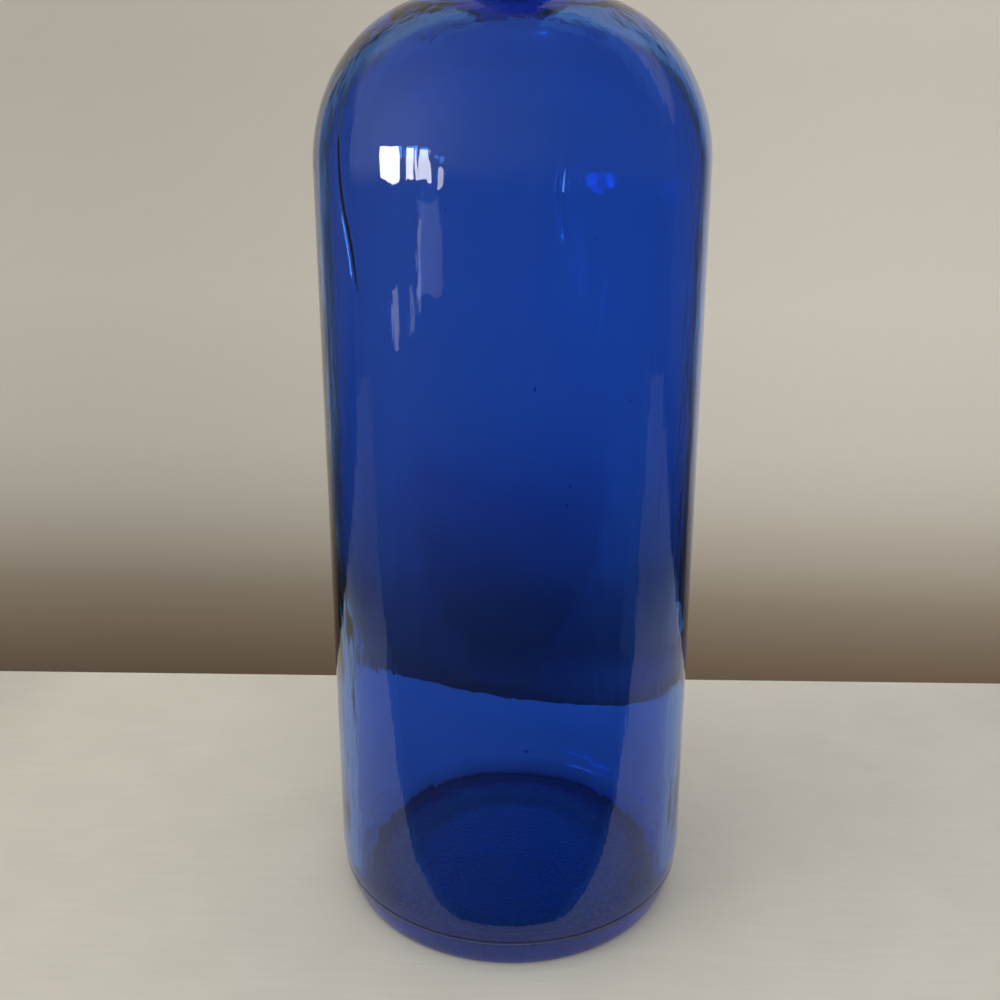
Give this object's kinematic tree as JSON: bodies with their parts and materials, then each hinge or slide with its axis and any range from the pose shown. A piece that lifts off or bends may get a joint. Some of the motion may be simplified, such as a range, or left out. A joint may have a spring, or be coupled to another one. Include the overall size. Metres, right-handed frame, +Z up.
{
  "type": "corked glass bottle",
  "caption": "Round cobalt-blue glass bottle with a high round shoulder, a slim neck with a string rim, and a tapered cork stopper that pulls out upwards.",
  "frame": {"origin": "centre of the flat resting ring, on the surface that the bottle stands on", "axes": "+Z up along the bottle's axis, from base to mouth; the bottle is round, so X and Y are free"},
  "size_m": [0.08, 0.08, 0.31],
  "materials": {
    "cobalt_glass": "smooth clear cobalt-blue glass, high gloss",
    "cork": "matt natural cork with small dark pores"
  },
  "bodies": {
    "bottle": {"glass_bottle": "cobalt_glass"},
    "stopper": {"cork_stopper": "cork"}
  },
  "joints": [
    {"name": "cork_pull", "type": "slide", "parent": "bottle", "child": "stopper", "axis": [0, 0, 1], "range_m": [0, 0.045]}
  ]
}
